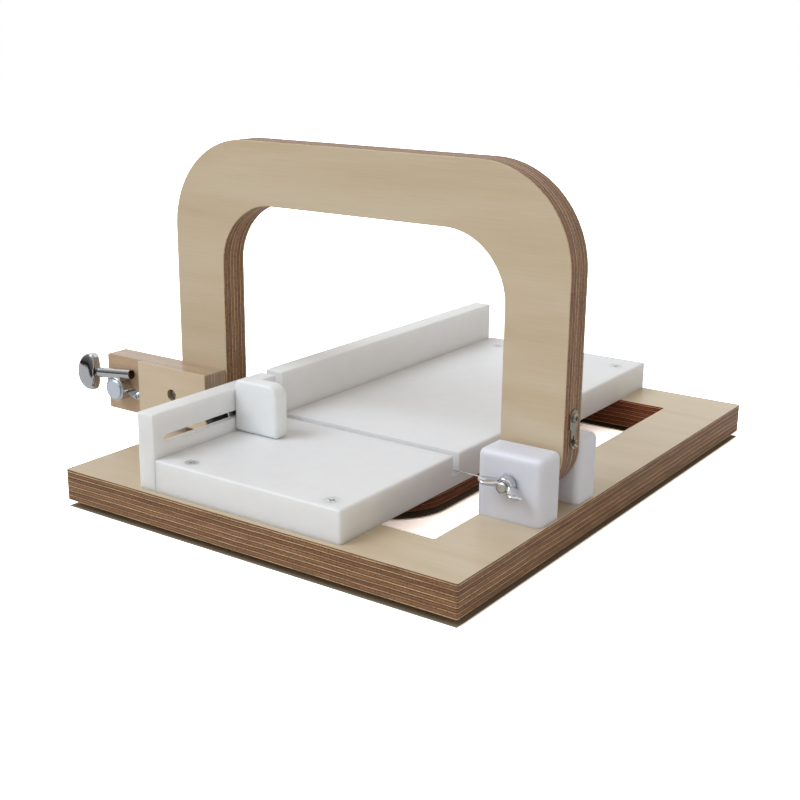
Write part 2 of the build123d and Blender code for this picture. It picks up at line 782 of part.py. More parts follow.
def make_button():
    flat = -barrel_left - button_gap
    middle = flat - button_width + button_round
    oval = Ellipse(button_round, button_height / 2)
    oval = oval & Pos(button_width - button_round - button_width / 2, 0) * Rectangle(button_width, button_height)
    button = extrude(oval, button_thick / 2, both=True)
    faces = button.faces().sort_by(Axis.Z)
    button = fillet(faces[0].edges() + faces[-1].edges(), button_edge)
    button = Pos(middle, worm_distance, -gear_middle) * button
    left = flat - button_width
    button -= worm_rod(shaft_radius + hole_gap, flat - button_width / 2 - hole_gap, flat + overrun)
    button -= worm_rod(button_screw_radius + hole_gap, left, flat)
    button -= worm_rod(button_screw_head + hole_gap, left - overrun, left + button_screw_sink + small_head_height)
    keep("tuner_button", on_tuner(button))
    screw = pan_driven(button_screw_radius, button_screw_head, small_head_height, button_screw_length)
    seat = (left + button_screw_sink + small_head_height, worm_distance, -gear_middle)
    keep("button_screw", on_tuner(aimed(screw, seat, (-1, 0, 0))))


def make_post():
    gear_rear = gear_middle + gear_thick / 2
    gear_front = gear_middle - gear_thick / 2
    waist_front = bow_front + bushing_flange_thick + post_collar
    waist_rear = waist_front + post_waist_length
    post_rear = waist_rear + post_end_length
    post = tuner_rod(post_radius, waist_front, gear_rear) + tuner_rod(gear_bore, gear_rear, gear_front)
    post += tuner_rod(post_waist, waist_rear, waist_front) + tuner_rod(post_radius, post_rear, waist_rear)
    post -= tuner_rod(gear_screw_radius + hole_gap, gear_front + gear_screw_length, gear_front - overrun)
    cross = Rot(0, 90, 0) * Cylinder(post_cross_hole, 2 * post_radius + overrun)
    post -= Pos(0, 0, -(waist_front + post_collar)) * cross
    keep("string_post", on_tuner(post))
    sleeve = post_radius + running_gap + bushing_wall
    bushing = tuner_rod(sleeve, bow_front, bow_front - bushing_length)
    bushing += tuner_rod(bushing_flange, bow_front + bushing_flange_thick, bow_front)
    bushing -= tuner_rod(post_radius + running_gap, bow_front + overrun, bow_front - bushing_length - overrun)
    keep("post_bushing", on_tuner(bushing))


# Cutting wire: wound on the post, through the left leg, straight across at the
# level of the right leg's end, round that end and up to the ball in the clip.
def wire_winding(leave, heading):
    """Turns of wire on the post that lead up to the point where it leaves."""
    radius = post_waist + wire_gap + wire_radius
    lean = math.atan2(heading[1], heading[0])
    count = 4 * wire_turns
    points = []
    for number in range(count, -1, -1):
        angle = lean - math.pi / 2 - math.pi / 2 * number
        y = cut_plane - wire_turn_pitch * number / 4
        points.append((post_x + radius * math.cos(angle), y, post_level + radius * math.sin(angle)))
    arcs = []
    point = Vector(*points[-1])
    tangent = Vector(heading[0], 0, heading[1]) * -1
    for target in reversed(points[:-1]):
        arc = Edge.make_tangent_arc(point, tangent, Vector(*target))
        arcs.append(arc)
        point = Vector(*target)
        tangent = arc % 1
    return points, arcs


def make_wire():
    radius = post_waist + wire_gap + wire_radius
    mouth = (bow_left - wire_radius, wire_level)
    across = mouth[0] - post_x
    down = mouth[1] - post_level
    lean = math.atan2(down, across) + math.asin(radius / math.hypot(across, down))
    heading = (math.cos(lean), math.sin(lean))
    leave = (post_x + radius * math.sin(lean), post_level - radius * math.cos(lean))
    side = bow_right + wire_gap + wire_radius
    ball_x = bow_right + clip_thick + wire_gap + ball_radius
    turn_level = leg_end_level + leg_end_outer + wire_exit_bend / 2
    route = [(leave[0], cut_plane, leave[1]), (mouth[0], cut_plane, mouth[1])]
    route += [(side, cut_plane, wire_level), (side, cut_plane, turn_level)]
    route += [(ball_x, cut_plane, ball_level)]
    bends = [wire_entry_bend, leg_end_outer + wire_gap + wire_radius, wire_exit_bend]
    run = FilletPolyline(*route, radius=bends)
    points, arcs = wire_winding(leave, heading)
    path = Wire(run.edges() + arcs)
    start = Plane(origin=(ball_x, cut_plane, ball_level), z_dir=path_direction(route))
    wire = sweep(start * Circle(wire_radius), path=path)
    gap = min_turn_gap(points)
    print("wire length", round(path.length, 1), "volume", round(wire.volume, 2),
          "expected", round(math.pi * wire_radius ** 2 * path.length, 2), "turn gap", round(gap, 2))
    ball = Pos(ball_x, cut_plane, ball_level) * Sphere(ball_radius)
    keep("cutting_wire", wire - ball)
    keep("wire_ball_end", ball)


def path_direction(route):
    """Direction from the last point of the route back towards the one before."""
    last = Vector(*route[-1])
    before = Vector(*route[-2])
    return (before - last).normalized()


def min_turn_gap(points):
    """Least gap between neighbouring turns of the winding, from its points."""
    pairs = zip(points, points[4:])
    return min((Vector(*a) - Vector(*b)).length for a, b in pairs) - 2 * wire_radius


def make_clip():
    front = cut_plane - clip_width / 2
    rear = cut_plane + clip_width / 2
    right = bow_right + clip_thick
    plate = block_between((bow_right, front, clip_fork_level), (right, rear, clip_top))
    corners = edges_along(plate, Axis.X).group_by(Axis.Z)
    plate = fillet(corners[-1], clip_head_round)
    plate = fillet(edges_along(plate, Axis.X).group_by(Axis.Z)[0], clip_corner)
    fork_front = cut_plane - clip_fork_width / 2
    fork_rear = cut_plane + clip_fork_width / 2
    bend = clip_bottom + clip_curl
    plate += block_between((bow_right, fork_front, bend), (right, fork_rear, clip_fork_level + clip_corner))
    lip = [(bow_right, bend), (right, bend), (right + clip_curl, clip_bottom), (right + clip_curl / 2, clip_bottom)]
    profile = Plane(origin=(0, fork_front, 0), x_dir=(1, 0, 0), z_dir=(0, -1, 0)) * make_face(Polyline(*lip, close=True))
    plate += extrude(profile, -clip_fork_width)
    slot_front_y = cut_plane - clip_slot_width / 2
    plate -= block_between((bow_right - overrun, slot_front_y, clip_bottom - overrun),
                           (right + clip_curl + overrun, slot_front_y + clip_slot_width, clip_slot_top))
    plate -= rod((bow_right - overrun, cut_plane, clip_screw_level), (1, 0, 0),
                 small_screw_radius + hole_gap, clip_thick + 2 * overrun)
    keep("wire_clip", plate)
    screw = pan_driven(small_screw_radius, small_head_radius, small_head_height, clip_screw_length)
    keep("clip_screw", aimed(screw, (right, cut_plane, clip_screw_level), (1, 0, 0)))


make_base_board()
make_feet()
make_platform()
make_fences()
make_stop()
make_stop_fasteners()
make_pivot()
make_wing_nut()
make_bow()
make_tuner_block()
make_tuner_case()
make_gear_train()
make_button()
make_post()
make_wire()
make_clip()

# Move everything so that the origin is on the floor under the middle of the tool.
every_solid = [solid for group in pieces.values() for shape in group for solid in shape.solids()]
whole = Compound(every_solid).bounding_box()
shift = Pos(-whole.center().X, -whole.center().Y, -whole.min.Z)
os.makedirs("parts", exist_ok=True)
for name, group in pieces.items():
    moved = [shift * solid for shape in group for solid in shape.solids()]
    export_step(moved[0] if len(moved) == 1 else Compound(moved), f"parts/{name}.step")
print(len(pieces), "nodes; size", whole.size, "shift", shift.position)
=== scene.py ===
# %% [markdown]
# # A soap cutter, dressed for its picture
# The tool is a plywood board that carries a white plastic platform with fences,
# and a plywood bow that swings down on a bolt and draws a wire through the bar.
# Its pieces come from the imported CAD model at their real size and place. This
# script gives each one its finish, remakes the small metal pieces whose shape a
# plain solid can't hold, and sets up the floor, the light and the camera.

import json
import math

import bmesh
import bpy
import numpy as np
from mathutils import Matrix, Vector

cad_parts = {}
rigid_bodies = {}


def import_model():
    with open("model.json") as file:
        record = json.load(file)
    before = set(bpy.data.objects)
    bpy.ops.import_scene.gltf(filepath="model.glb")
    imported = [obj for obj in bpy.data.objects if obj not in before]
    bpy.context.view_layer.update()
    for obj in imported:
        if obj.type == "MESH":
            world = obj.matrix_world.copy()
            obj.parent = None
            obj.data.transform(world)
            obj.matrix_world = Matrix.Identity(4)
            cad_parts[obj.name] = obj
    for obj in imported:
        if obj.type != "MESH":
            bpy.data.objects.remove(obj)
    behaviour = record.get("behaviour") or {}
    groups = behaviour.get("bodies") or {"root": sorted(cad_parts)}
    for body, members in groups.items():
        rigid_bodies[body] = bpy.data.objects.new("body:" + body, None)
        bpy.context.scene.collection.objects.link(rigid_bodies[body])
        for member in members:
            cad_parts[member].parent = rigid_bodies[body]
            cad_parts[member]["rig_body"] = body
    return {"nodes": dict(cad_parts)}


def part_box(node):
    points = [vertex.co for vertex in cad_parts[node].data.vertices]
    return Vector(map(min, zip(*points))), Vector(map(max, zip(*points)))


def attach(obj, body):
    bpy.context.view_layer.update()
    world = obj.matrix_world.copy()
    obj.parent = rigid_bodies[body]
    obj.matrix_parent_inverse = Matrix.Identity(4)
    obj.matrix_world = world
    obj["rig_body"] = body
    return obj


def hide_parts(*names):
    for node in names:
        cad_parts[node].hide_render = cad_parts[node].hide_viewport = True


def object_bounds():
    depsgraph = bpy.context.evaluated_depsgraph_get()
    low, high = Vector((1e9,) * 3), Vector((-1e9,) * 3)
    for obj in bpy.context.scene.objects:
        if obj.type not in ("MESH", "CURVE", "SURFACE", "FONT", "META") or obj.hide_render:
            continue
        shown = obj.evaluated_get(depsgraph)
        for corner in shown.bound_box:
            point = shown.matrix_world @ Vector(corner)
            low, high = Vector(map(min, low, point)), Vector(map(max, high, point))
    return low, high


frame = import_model()
nodes = frame["nodes"]
cad_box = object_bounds()
size_mm = (cad_box[1] - cad_box[0]) * 1000
print("loaded", len(nodes), "nodes,", " x ".join(f"{side:.1f}" for side in size_mm), "mm")

# %% [markdown]
# ## Small helpers
# Colours are written as the hex values that an eye compares on a screen, and
# Blender computes with linear light, so one function turns the first into the
# second. A shader tree is many nodes with a few settings each, so one more
# function adds a node, sets its properties and fills or links its sockets.


# %% Colours and shader nodes
blend = {"data_type": "RGBA"}
multiply = {"data_type": "RGBA", "blend_type": "MULTIPLY"}


def linear(code):
    """sRGB hex to linear RGBA: each channel c becomes ((c + 0.055) / 1.055) ^ 2.4, and c / 12.92
    near black."""
    channels = np.array([int(code[i:i + 2], 16) for i in (1, 3, 5)]) / 255
    bright = ((channels + 0.055) / 1.055) ** 2.4
    return (*np.where(channels > 0.04045, bright, channels / 12.92), 1.0)


def add(tree, kind, settings=None, out=0, stops=None, **sockets):
    """Add a node and return one of its outputs. Sockets go by name, with _ for a space, or by place
    as s0, s1; each gets a value or a link. stops are the places and hex colours of a colour ramp."""
    node = tree.nodes.new("ShaderNode" + kind)
    for key, value in (settings or {}).items():
        setattr(node, key, value)
    for key, value in sockets.items():
        by_place = key[0] == "s" and key[1:].isdigit()
        socket = node.inputs[int(key[1:]) if by_place else key.replace("_", " ")]
        if isinstance(value, bpy.types.NodeSocket):
            tree.links.new(value, socket)
        else:
            socket.default_value = value
    if stops:
        band = node.color_ramp.elements
        band.remove(band[1])
        band[0].position, band[0].color = stops[0][0], linear(stops[0][1])
        for position, code in stops[1:]:
            band.new(position).color = linear(code)
    return node.outputs[out] if node.outputs else node


def new_material(name, **values):
    """Material with its Principled shader's plain values set: returns it, its tree, its shader and
    the place on the piece in millimetres."""
    material = bpy.data.materials.new(name)
    material.use_nodes = True
    tree = material.node_tree
    shader = tree.nodes["Principled BSDF"]
    for key, value in values.items():
        shader.inputs[key.replace("_", " ")].default_value = value
    place = add(tree, "TexCoord", out=3)
    millimetres = add(tree, "VectorMath", {"operation": "SCALE"}, s0=place, Scale=1000.0)
    return material, tree, shader, millimetres


print("mid grey #808080 is", round(linear("#808080")[0], 3), "in linear light")

# %% [markdown]
# ## Birch plywood
# The board, the bow and the tuner's block are cut from one 18 mm sheet of 13
# plies. The faces are pale rotary-cut birch with fine, faint grain. Each edge
# shows the stack: thin pale lines where a ply runs along the edge, and wider
# brown bands where one is cut across its fibres. A solid texture does this
# well: the colour depends on how deep a point lies in the stack, so curved
# edges, holes and the routed step all show the plies with no seam. The tuner's
# block is lacquered all round, and it is the palest of the three.


# %% Where the board and its opening lie, in millimetres
def beyond(tree, place, middle, half, corner=0.0):
    """Distance by which a place lies outside a round-cornered rectangle on the floor plan, negative
    inside: with q the offset from the middle less the half size and the corner, it is the length of
    q's positive part, plus the larger of q's parts where that is negative, less the corner."""
    flat = add(tree, "VectorMath", {"operation": "MULTIPLY"}, s0=place, s1=(1.0, 1.0, 0.0))
    offset = add(tree, "VectorMath", {"operation": "SUBTRACT"}, s0=flat, s1=(*middle, 0.0))
    offset = add(tree, "VectorMath", {"operation": "ABSOLUTE"}, s0=offset)
    offset = add(tree, "VectorMath", {"operation": "SUBTRACT"}, s0=offset,
                 s1=(half[0] - corner, half[1] - corner, 0.0))
    outside = add(tree, "VectorMath", {"operation": "MAXIMUM"}, s0=offset, s1=(0.0, 0.0, 0.0))
    outside = add(tree, "VectorMath", {"operation": "LENGTH"}, out=1, s0=outside)
    parts = add(tree, "SeparateXYZ", Vector=offset).node.outputs
    inside = add(tree, "Math", {"operation": "MAXIMUM"}, s0=parts["X"], s1=parts["Y"])
    inside = add(tree, "Math", {"operation": "MINIMUM"}, s0=inside, s1=0.0)
    distance = add(tree, "Math", {"operation": "ADD"}, s0=outside, s1=inside)
    return add(tree, "Math", {"operation": "SUBTRACT"}, s0=distance, s1=corner)


def rectangle(left, right, front, rear, corner=0.0):
    """Middle, half size and corner radius of a rectangle on the floor plan."""
    return ((left + right) / 2, (front + rear) / 2), ((right - left) / 2, (rear - front) / 2), corner


# The rails round the opening, the channel round the tongue and the tongue's corner, as in the CAD model.
left_rail, other_rails, channel, tongue_corner = 42.0, 37.5, 48.0, 35.0
(board_left, board_front), (board_right, board_rear) = (corner.xy * 1000 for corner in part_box("base_board"))
footprint = rectangle(board_left, board_right, board_front, board_rear)
opening = rectangle(board_left + left_rail, board_right - other_rails, board_front + other_rails,
                    board_rear - other_rails)
# The tongue starts well under the left rail, so that only its right corners are round.
tongue = rectangle(board_left + left_rail - 2 * tongue_corner, board_right - other_rails - channel,
                   board_front + other_rails + channel, board_rear - other_rails - channel, tongue_corner)
print("board's middle and half size:", [[round(v, 1) for v in pair] for pair in footprint[:2]])


# %% Birch plywood, sawn and routed, under a satin clear lacquer
sheet_thick, plies = 18.0, 13
ply_pair = sheet_thick / (plies / 2)  # one ply along the face's grain and one across it, in millimetres


def plywood(name, axis, low, step=None, opening=None, edge_lacquer=0.08, pale=0.0):
    """Plywood stacked along one axis up from a face at low millimetres. step is the place of a face
    cut into the sheet, drawn a shade darker and redder as painted shade; opening a rectangle whose
    saw-cut walls are redder from the saw's heat and also drawn darker as painted shade; edge_lacquer
    the gloss of the edges, and pale the share of a bleached tone that faces and edges take on."""
    material, tree, shader, place = new_material(name, Roughness=0.55, Coat_Roughness=0.25)
    depth = add(tree, "SeparateXYZ", out=axis, Vector=place)

    # The veneers are never quite level, so the stack wanders by a few tenths of a millimetre.
    wander_range, waves_to_mm = 1.2, 0.025
    level_scale = [waves_to_mm if i != axis else 0.0 for i in range(3)]
    slow = add(tree, "VectorMath", {"operation": "MULTIPLY"}, s0=place, s1=level_scale)
    wander = add(tree, "TexNoise", Vector=slow, Scale=1.0, Detail=3.0)
    wander = add(tree, "Math", {"operation": "MULTIPLY_ADD"}, s0=wander, s1=wander_range,
                 s2=-wander_range / 2 - low)
    level = add(tree, "Math", {"operation": "ADD"}, s0=depth, s1=wander)
    phase = add(tree, "Math", {"operation": "DIVIDE"}, s0=level, s1=ply_pair)
    layer = add(tree, "Math", {"operation": "FLOOR"}, s0=phase)
    phase = add(tree, "Math", {"operation": "FRACT"}, s0=phase)
    # One pair: the pale ply along the edge, a dark glue line, the brown cut ply, the next glue line.
    stack = add(tree, "ValToRGB", Fac=phase, stops=[
        (0.00, "#edd0a8"), (0.13, "#e6c69b"), (0.20, "#5f3d26"), (0.34, "#a2734b"),
        (0.70, "#ab7c51"), (0.90, "#6b472d"), (0.95, "#5a3923"), (1.00, "#edd0a8")])

    # No two veneers come from the same place in the log, so each pair is a little lighter or darker.
    chance = add(tree, "TexWhiteNoise", {"noise_dimensions": "1D"}, W=layer)
    tone = add(tree, "ValToRGB", Fac=chance, stops=[(0.0, "#dcd3cc"), (1.0, "#ffffff")])
    stack = add(tree, "Mix", multiply, out=2, s0=1.0, s6=stack, s7=tone)

    # Fibres run along the edge for a few centimetres; cut fibres leave fine dark pores.
    along_layer, across_layer = 0.05, 1.3  # fibres to a millimetre
    fibre_scale = [along_layer if i != axis else across_layer for i in range(3)]
    along = add(tree, "VectorMath", {"operation": "MULTIPLY"}, s0=place, s1=fibre_scale)
    fibres = add(tree, "TexNoise", Vector=along, Scale=1.0, Detail=5.0, Roughness=0.65)
    streaks = add(tree, "ValToRGB", Fac=fibres, stops=[
        (0.30, "#978777"), (0.46, "#e2dbd2"), (0.62, "#ffffff")])
    speckle = add(tree, "TexNoise", Vector=place, Scale=0.8, Detail=3.0, Roughness=0.7)
    pores = add(tree, "ValToRGB", Fac=speckle, stops=[(0.36, "#a3917f"), (0.50, "#ffffff")])
    edge = add(tree, "Mix", multiply, out=2, s0=0.85, s6=stack, s7=streaks)
    edge = add(tree, "Mix", multiply, out=2, s0=0.7, s6=edge, s7=pores)

    # Faces: broad pale figure, then millimetre grain along X, both faint.
    broad_scale = [0.006, 0.05, 0.05]  # figures to a millimetre
    broad = add(tree, "VectorMath", {"operation": "MULTIPLY"}, s0=place, s1=broad_scale)
    figure = add(tree, "TexNoise", Vector=broad, Scale=1.0, Detail=3.0, Distortion=0.6)
    veneer = add(tree, "ValToRGB", Fac=figure, stops=[
        (0.30, "#cbb797"), (0.50, "#d0bd9f"), (0.70, "#d4c3a8")])
    fine_scale = [0.03, 1.4, 1.4]  # lines to a millimetre
    fine = add(tree, "VectorMath", {"operation": "MULTIPLY"}, s0=place, s1=fine_scale)
    grain = add(tree, "TexNoise", Vector=fine, Scale=1.0, Detail=5.0, Roughness=0.6)
    lines = add(tree, "ValToRGB", Fac=grain, stops=[(0.25, "#efe8de"), (0.60, "#ffffff")])
    face = add(tree, "Mix", multiply, out=2, s0=0.45, s6=veneer, s7=lines)

    # A point counts as on a face close to either side of the sheet, and fades to edge just below it.
    half_thick, fade_start, fade_end = sheet_thick / 2, 0.2, 0.05
    off_middle = add(tree, "Math", {"operation": "SUBTRACT"}, s0=depth, s1=low + half_thick)
    off_middle = add(tree, "Math", {"operation": "ABSOLUTE"}, s0=off_middle)
    on_face = add(tree, "MapRange", Value=off_middle, From_Min=half_thick - fade_start,
                  From_Max=half_thick - fade_end)
    if opening:
        # A narrow saw heats the wood, so the walls of the opening are a little redder; they are also painted
        # darker, a painted shade for the shadow inside the opening.
        beyond_wall = beyond(tree, place, *opening)
        scorch_and_painted_shade = add(tree, "MapRange", Value=beyond_wall, From_Min=2.0, From_Max=0.5)
        edge = add(tree, "Mix", multiply, out=2, s0=scorch_and_painted_shade, s6=edge, s7=linear("#ffcbb9"))
    colour = add(tree, "Mix", blend, out=2, s0=on_face, s6=edge, s7=face)
    colour = add(tree, "Mix", blend, out=2, s0=pale, s6=colour, s7=linear("#f2dfc2"))
    if step is not None:
        # The routed step lies in an inner ply, cut flat; its face is painted shade, a shade darker and redder
        # than the face, for the shadow in the recess.
        off_step = add(tree, "Math", {"operation": "SUBTRACT"}, s0=depth, s1=step)
        off_step = add(tree, "Math", {"operation": "ABSOLUTE"}, s0=off_step)
        on_step = add(tree, "MapRange", Value=off_step, From_Min=0.15, From_Max=fade_end)
        step_painted_shade = add(tree, "ValToRGB", Fac=figure, stops=[(0.30, "#c2a282"), (0.70, "#cfb08e")])
        step_painted_shade = add(tree, "Mix", multiply, out=2, s0=1.0, s6=step_painted_shade, s7=lines)
        colour = add(tree, "Mix", blend, out=2, s0=on_step, s6=colour, s7=step_painted_shade)
    tree.links.new(colour, shader.inputs["Base Color"])

    # The lacquer lies on the smooth faces; the open grain of most edges soaks it up.
    lacquer = add(tree, "MapRange", Value=on_face, To_Min=edge_lacquer, To_Max=0.5)
    tree.links.new(lacquer, shader.inputs["Coat Weight"])
    relief = add(tree, "Math", {"operation": "MULTIPLY_ADD"}, s0=fibres, s1=0.5, s2=grain)
    normal = add(tree, "Bump", Height=relief, Strength=0.25, Distance=0.0002)
    tree.links.new(normal, shader.inputs["Normal"])
    return material


board_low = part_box("base_board")[0].z * 1000
bow_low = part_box("bow")[0].y * 1000
block_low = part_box("tuner_block")[0].y * 1000
board_ply = plywood("birch_plywood_board", 2, board_low, opening=opening)
bow_ply = plywood("birch_plywood_bow", 1, bow_low)
routed_deep = 3.0
block_ply = plywood("birch_plywood_block", 1, block_low, step=block_low + routed_deep, edge_lacquer=0.7,
                    pale=0.3)
print("plywood:", plies, "plies of", round(sheet_thick / plies, 2), "mm")

# %% [markdown]
# ## White plastics
# The platform and fences are planed polyethylene sheet, a waxy white that lets
# a little light in, so its shadows stay soft and its edges glow. The pivot
# blocks are the same plastic with a cooler tint and well rounded edges. The
# stop is a thinner, milky tab. Saw and planer leave faint lines that only the
# highlights show, drawn here a millimetre apart.


# %% Planed polyethylene sheet, and the milky stop
def polyethylene(name, code, shade, glow, depth, roughness):
    """Waxy white plastic: two close tints mottled at 8 mm, faint tool marks, and light that scatters
    inside to a depth in millimetres."""
    material, tree, shader, place = new_material(
        name, Roughness=roughness, IOR=1.54, Subsurface_Weight=glow, Subsurface_Radius=(1.0, 0.95, 0.9),
        Subsurface_Scale=depth / 1000)
    cloud = add(tree, "TexNoise", Vector=place, Scale=0.12, Detail=3.0)
    tint = add(tree, "ValToRGB", Fac=cloud, stops=[(0.35, shade), (0.62, code)])
    tree.links.new(tint, shader.inputs["Base Color"])
    long = add(tree, "VectorMath", {"operation": "MULTIPLY"}, s0=place, s1=(1.0, 0.04, 1.0))
    marks = add(tree, "TexNoise", Vector=long, Scale=1.0, Detail=2.0)
    grit = add(tree, "TexNoise", Vector=place, Scale=3.0, Detail=3.0)
    relief = add(tree, "Math", {"operation": "MULTIPLY_ADD"}, s0=grit, s1=0.3, s2=marks)
    normal = add(tree, "Bump", Height=relief, Strength=0.12, Distance=0.0001)
    tree.links.new(normal, shader.inputs["Normal"])
    return material


sheet_plastic = polyethylene("polyethylene_sheet_planed", "#eeeeee", "#ececec", 0.6, 10.0, 0.42)
block_plastic = polyethylene("polyethylene_block_cut", "#e2e3ec", "#e0e1ea", 0.5, 6.0, 0.45)
stop_plastic = polyethylene("polyethylene_milky_tab", "#f3f6f7", "#f0f4f5", 0.8, 8.0, 0.38)
print("polyethylene: three whites from sheet, block and tab")

# %% [markdown]
# ## Metals and rubber
# The tuner and the wing nut are bright chrome plate, and the tuner's cap is
# satin nickel. Screws, washers and bolt are zinc plate, soft and pale, and the
# clip and its screw are duller. The worm is steel dark with grease, its gear
# and the wire's ball end are brass, and the wire is drawn spring steel. A
# metal's look is nearly all reflection, so each one is a colour, a roughness
# and a fine mark left by how it was made.


# %% Plated, machined and drawn metals; moulded rubber and plastic
def metal(name, code, roughness, mark_scale, mark_strength):
    """Metal with its reflection colour, its roughness and tool marks, whose scale is the number of
    marks to a millimetre along each axis."""
    material, tree, shader, place = new_material(name, Metallic=1.0, Base_Color=linear(code))
    scaled = add(tree, "VectorMath", {"operation": "MULTIPLY"}, s0=place, s1=mark_scale)
    marks = add(tree, "TexNoise", Vector=scaled, Scale=1.0, Detail=3.0)
    rough = add(tree, "MapRange", Value=marks, To_Min=roughness * 0.8, To_Max=roughness * 1.3)
    tree.links.new(rough, shader.inputs["Roughness"])
    normal = add(tree, "Bump", Height=marks, Strength=mark_strength, Distance=0.00005)
    tree.links.new(normal, shader.inputs["Normal"])
    return material


chrome = metal("chrome_plate_polished", "#c9cacc", 0.09, (0.2, 0.2, 0.2), 0.05)
nickel = metal("nickel_plate_satin", "#e4ebf5", 0.34, (0.6, 0.6, 0.6), 0.1)
zinc = metal("zinc_plate_bright", "#dcdddd", 0.4, (0.8, 0.8, 0.8), 0.15)
clip_steel = metal("steel_pressed_dull", "#9c9489", 0.36, (0.8, 0.8, 0.8), 0.2)
worm_steel = metal("steel_greased_dark", "#4a3d35", 0.4, (4.0, 0.5, 0.5), 0.2)
gear_steel = metal("steel_machined", "#a2a2a4", 0.3, (4.0, 0.5, 0.5), 0.2)
gear_brass = metal("brass_machined", "#9a8763", 0.35, (1.0, 4.0, 1.0), 0.2)
wire_steel = metal("spring_steel_drawn", "#b4b4b4", 0.4, (0.5, 3.0, 3.0), 0.1)

foot_rubber, tree, shader, place = new_material("rubber_moulded_black", Roughness=0.75, IOR=1.52)
bloom = add(tree, "TexNoise", Vector=place, Scale=0.7, Detail=4.0)
rubber_tint = add(tree, "ValToRGB", Fac=bloom, stops=[(0.3, "#1d1d1e"), (0.7, "#2a2a2b")])
tree.links.new(rubber_tint, shader.inputs["Base Color"])
tree.links.new(add(tree, "Bump", Height=bloom, Strength=0.2, Distance=0.0002), shader.inputs["Normal"])

knob_plastic, tree, shader, place = new_material("phenolic_moulded_black", Roughness=0.38, IOR=1.55)
flow = add(tree, "TexNoise", Vector=place, Scale=0.5, Detail=3.0)
knob_tint = add(tree, "ValToRGB", Fac=flow, stops=[(0.3, "#171615"), (0.7, "#211f1d")])
tree.links.new(knob_tint, shader.inputs["Base Color"])
print("metals: chrome, zinc, steel, brass and wire; black rubber and black moulded plastic")

# %% [markdown]
# ## Dress the solids
# Most pieces keep their CAD shape, and only take a finish. The table below
# reads like a bill of materials.

# %% Give every CAD piece its finish
finishes = {
    board_ply: ["base_board"],
    bow_ply: ["bow"],
    block_ply: ["tuner_block"],
    sheet_plastic: ["platform", "front_fence", "rear_fence"],
    block_plastic: ["front_pivot_block", "rear_pivot_block"],
    stop_plastic: ["stop_block"],
    foot_rubber: ["rubber_feet"],
    zinc: ["foot_screws", "platform_screws", "fence_screws", "pivot_block_screws", "tuner_block_screws",
           "pivot_bolt", "pivot_washers", "stop_washer"],
    clip_steel: ["wire_clip", "clip_screw"],
    knob_plastic: ["stop_thumb_screw"],
    chrome: ["wing_nut", "tuner_housing", "tuner_base_plate", "tuner_button", "button_screw",
             "tuner_mount_screw", "string_post", "post_bushing"],
    nickel: ["tuner_cap"],
    worm_steel: ["worm_shaft"],
    gear_steel: ["gear_screw"],
    gear_brass: ["worm_gear", "wire_ball_end"],
    wire_steel: ["cutting_wire"],
}
for finish, names in finishes.items():
    for name in names:
        nodes[name].data.materials.clear()
        nodes[name].data.materials.append(finish)
print("finishes:", len(finishes), "for", sum(map(len, finishes.values())), "nodes")

# %% [markdown]
# ## Softened edges
# A sawn board's edges are rubbed down by hand to about half a millimetre, and
# the tuner's block, which a hand meets, to a whole one. The CAD pieces are
# sharper, so merged copies with a small bevel stand in for them. Without that
# thin highlight along each edge, wood reads as paper.


# %% Ease the board's and the block's edges
def eased(name, width):
    """Merged copy of a CAD piece with its sharp edges bevelled by width millimetres."""
    mesh = nodes[name].data.copy()
    if "custom_normal" in mesh.attributes:
        mesh.attributes.remove(mesh.attributes["custom_normal"])
    work = bmesh.new()
    work.from_mesh(mesh)
    bmesh.ops.remove_doubles(work, verts=work.verts, dist=1e-6)
    bmesh.ops.dissolve_limit(work, angle_limit=math.radians(1), verts=work.verts, edges=work.edges)
    work.to_mesh(mesh)
    work.free()
    piece = bpy.data.objects.new(name + "_eased", mesh)
    bpy.context.scene.collection.objects.link(piece)
    bevel = piece.modifiers.new("eased edges", "BEVEL")
    bevel.width = width / 1000
    bevel.segments = 2
    bevel.limit_method = "ANGLE"
    bevel.angle_limit = math.radians(50)
    mesh.polygons.foreach_set("use_smooth", np.ones(len(mesh.polygons), bool))
    mesh.set_sharp_from_angle(angle=math.radians(30))
    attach(piece, nodes[name]["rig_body"])
    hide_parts(name)
    return piece


for name, width in (("base_board", 0.5), ("tuner_block", 1.0)):
    copy = eased(name, width)
    print("eased", copy.name, len(copy.data.polygons), "faces")

# %% [markdown]
# ## Button and wing nut
# Both are die castings with no flat on them, so a box with rounded edges looks
# wrong at once: its faces mirror one tone, where the real ones sweep from dark
# to bright. They are remade as smooth surfaces, each a formula of two values on
# a grid, and closed into meshes by one function.


# %% Closed surface from a grid of points
def skin(name, points, node, finish):
    """Closed mesh over a grid of points (rows, columns, xyz in metres). The columns close round, and
    the first and last rows either shrink to a point or meet each other, as on a ring. The piece
    rides with a CAD node and replaces it."""
    rows, columns = points.shape[:2]
    row, column = np.meshgrid(np.arange(rows - 1), np.arange(columns), indexing="ij")
    first = row * columns + column
    beside = row * columns + (column + 1) % columns
    quads = np.stack([first, beside, beside + columns, first + columns], axis=-1).reshape(-1, 4)
    mesh = bpy.data.meshes.new(name)
    mesh.from_pydata(points.reshape(-1, 3), [], quads.tolist())
    work = bmesh.new()
    work.from_mesh(mesh)
    bmesh.ops.remove_doubles(work, verts=work.verts, dist=1e-6)
    bmesh.ops.recalc_face_normals(work, faces=work.faces)
    work.to_mesh(mesh)
    work.free()
    mesh.polygons.foreach_set("use_smooth", np.ones(len(mesh.polygons), bool))
    mesh.materials.append(finish)
    piece = bpy.data.objects.new(name, mesh)
    bpy.context.scene.collection.objects.link(piece)
    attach(piece, nodes[node]["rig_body"])
    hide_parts(node)
    print(name, len(mesh.polygons), "faces")
    return piece


def power(wave, share):
    """Wave raised to a power with its sign kept, which squares off a circle or an ellipse."""
    return np.sign(wave) * np.abs(wave) ** share


